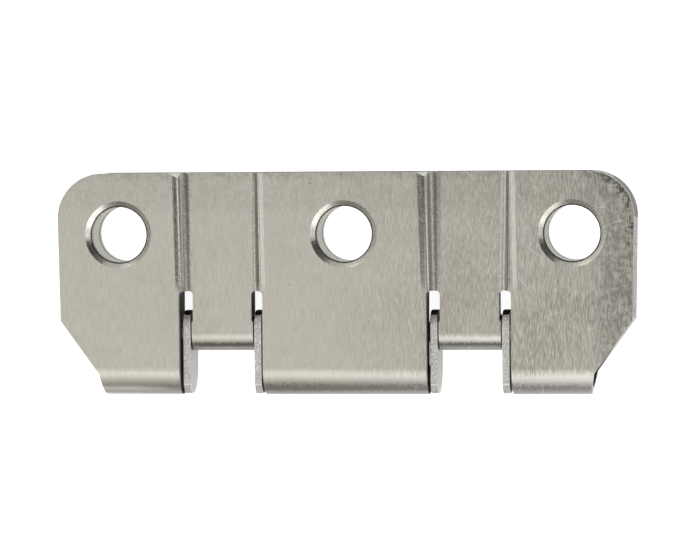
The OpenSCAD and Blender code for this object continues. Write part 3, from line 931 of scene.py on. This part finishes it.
for side in ("left", "right"):
    # The plate further to the left comes first
    nodes = [f"link_plate_{side}_{place}" for place in ("outer", "inner")]
    if side == "right":
        nodes.reverse()
    first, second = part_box(nodes[0]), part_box(nodes[1])
    plates = growPiece("linkPlates" + side.capitalize(), plateOutline(nodes[0]), linkPairs,
        {"Thickness": first[1].x - first[0].x, "Start": (first[0].x, 0.0, 0.0),
            "Spacing": (second[0].x - first[0].x, 0.0, 0.0),
            "Face Material": linkSteel, "Cut Material": cutSteel})
    plates = breakEdges(plates, [linkSteel, cutSteel, shadeAndGrimeSteel, rimAndHighlightSteel], linkPlates["edgeBreak"])
    # Painted shade on the round ends, which turn deep inside the slots
    for face in plates.data.polygons:
        if face.normal.y > 0.72 and face.normal.z < 0.8:
            face.material_index = plates.data.materials.find(shadeAndGrimeSteel.name)
    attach(plates, side + "_links")
    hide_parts(f"link_plate_{side}_outer", f"link_plate_{side}_inner")
    low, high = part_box("hinge_pin_" + side)
    reach = (high.y - low.y) / 2
    pin = growPiece("hingePin" + side.capitalize(), makeProfile("pinProfile" + side.capitalize(),
        [(across - reach / 2, along) for across, along in riveted((high.x - low.x) / 2, reach)], False),
        turnedParts, {"Path Radius": reach / 2, "Segments": pins["segments"],
            "Turn": (0.0, math.pi / 2, 0.0), "Axis": (1.0, 0.0, 0.0), "Count": 1,
            "Start": tuple((low + high) / 2), "Material": turnedSteel, "Edge Material": turnedSteel})
    settleNormals(pin.data)
    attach(pin, side + "_links")
    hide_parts("hinge_pin_" + side)
print("stage: pieces dressed")


def makeFloor():
    values = {"halfSize": 1.5, "drop": 0.00005, "albedo": (0.72, 0.72, 0.72), "cameraLift": 0.92,
        "glossLift": 0.4}
    size = values["halfSize"]
    mesh = bpy.data.meshes.new("studioFloor")
    mesh.from_pydata([(-size, -size, 0), (size, -size, 0), (size, size, 0), (-size, size, 0)], [],
        [(0, 1, 2, 3)])
    mesh.transform(Matrix.Translation((0, 0, slatLow.z - values["drop"])))
    floor = addObject("studioFloor", mesh)
    material, tree, shader = startMaterial("paleFloor")
    shader.inputs["Base Color"].default_value = (*values["albedo"], 1.0)
    shader.inputs["Roughness"].default_value = 0.9
    shader.inputs["Emission Color"].default_value = (1.0, 1.0, 1.0, 1.0)
    path = tree.nodes.new("ShaderNodeLightPath").outputs
    mirrored = mathNode(tree, "MAXIMUM", path["Is Glossy Ray"], path["Is Transmission Ray"])
    mirrored = mathNode(tree, "MULTIPLY", mirrored, values["glossLift"])
    tree.links.new(mathNode(tree, "MULTIPLY_ADD", path["Is Camera Ray"], values["cameraLift"], mirrored),
        shader.inputs["Emission Strength"])
    mesh.materials.append(material)


def makeWorld():
    # A pale tent with brighter and darker panels. Each glow is a heading in degrees from +X,
    # a height above the floor in degrees, a tightness and a strength
    values = {
        "tint": (1.0, 0.995, 0.985), "base": 0.194,
        "glows": [
            (0.0, 90.0, 25.0, 0.57), (90.0, 62.0, 25.0, 0.67), (180.0, 62.0, 25.0, 0.52),
            (225.0, 62.0, 25.0, 0.74), (270.0, 62.0, 25.0, 1.16), (120.0, 36.0, 25.0, 0.7),
            (200.0, 36.0, 25.0, 0.14), (280.0, 36.0, 25.0, 0.45), (320.0, 36.0, 25.0, 0.74),
            (0.0, 8.0, 30.0, 0.27), (60.0, 8.0, 30.0, 0.44), (90.0, 8.0, 30.0, 0.44),
            (120.0, 8.0, 30.0, 1.35), (150.0, 8.0, 30.0, 1.35), (180.0, 8.0, 30.0, 1.35),
            (210.0, 8.0, 30.0, 1.35), (300.0, 8.0, 30.0, 1.35), (330.0, 8.0, 30.0, 1.35),
            (200.0, 22.0, 45.0, 1.27), (235.0, 22.0, 45.0, 0.81), (300.0, 22.0, 45.0, 0.97),
            (330.0, 22.0, 45.0, 1.35), (285.0, 49.0, 40.0, 1.15), (0.0, 20.0, 70.0, 1.0),
        ],
    }
    world = bpy.data.worlds.new("studioTent")
    bpy.context.scene.world = world
    world.use_nodes = True
    tree = world.node_tree
    tree.nodes.clear()
    look = addNode(tree, "ShaderNodeTexCoord").outputs["Generated"]
    look = vectorMath(tree, "NORMALIZE", look)
    level = values["base"]
    for heading, height, tightness, strength in values["glows"]:
        heading, height = math.radians(heading), math.radians(height)
        towards = (math.cos(heading) * math.cos(height), math.sin(heading) * math.cos(height),
            math.sin(height))
        facing = vectorMath(tree, "DOT_PRODUCT", look, towards)
        glow = mathNode(tree, "POWER", mathNode(tree, "MAXIMUM", facing, 0.0), tightness)
        level = mathNode(tree, "MULTIPLY_ADD", glow, strength, level)
    path = tree.nodes.new("ShaderNodeLightPath").outputs
    shown = mixColour(tree, path["Is Camera Ray"], values["tint"], (1.0, 1.0, 1.0))
    level = mathNode(tree, "MULTIPLY_ADD", path["Is Camera Ray"],
        mathNode(tree, "SUBTRACT", 1.0, level), level)
    background = addNode(tree, "ShaderNodeBackground", {"Color": shown, "Strength": level})
    output = tree.nodes.new("ShaderNodeOutputWorld")
    tree.links.new(background.outputs[0], output.inputs[0])


def makeLamp(name, place, target, size, power):
    data = bpy.data.lights.new(name, "AREA")
    data.shape = "RECTANGLE"
    data.size, data.size_y = size
    data.energy = power
    lamp = addObject(name, data)
    lamp.location = place
    lamp.rotation_euler = (Vector(target) - Vector(place)).to_track_quat("-Z", "Y").to_euler()


def makeCamera():
    values = {"place": (0.12536, 0.03719, 0.9), "turnLeft": 0.1387, "turnDown": 0.0405,
        "roll": -0.0082, "lens": 235.1}
    data = bpy.data.cameras.new("productCamera")
    data.lens = values["lens"]
    data.sensor_width = 36.0
    data.clip_start = 0.01
    camera = addObject("productCamera", data)
    ahead = Vector((-math.sin(values["turnLeft"]) * math.cos(values["turnDown"]),
        -math.sin(values["turnDown"]), -math.cos(values["turnLeft"]) * math.cos(values["turnDown"])))
    right = ahead.cross(Vector((0, 1, 0))).normalized()
    up = right.cross(ahead)
    turned = right * math.cos(values["roll"]) + up * math.sin(values["roll"])
    up = up * math.cos(values["roll"]) - right * math.sin(values["roll"])
    axes = Matrix((turned, up, -ahead)).transposed()
    camera.matrix_world = Matrix.Translation(values["place"]) @ axes.to_4x4()
    bpy.context.scene.camera = camera


softbox = {"place": (-0.5, 0.45, 0.6), "target": (0, 0, 0), "size": (0.4, 0.4), "power": 0.025}
makeFloor()
makeWorld()
makeLamp("overheadSoftbox", **softbox)
makeCamera()
bpy.context.scene.view_settings.view_transform = "Standard"
print("stage: studio set")
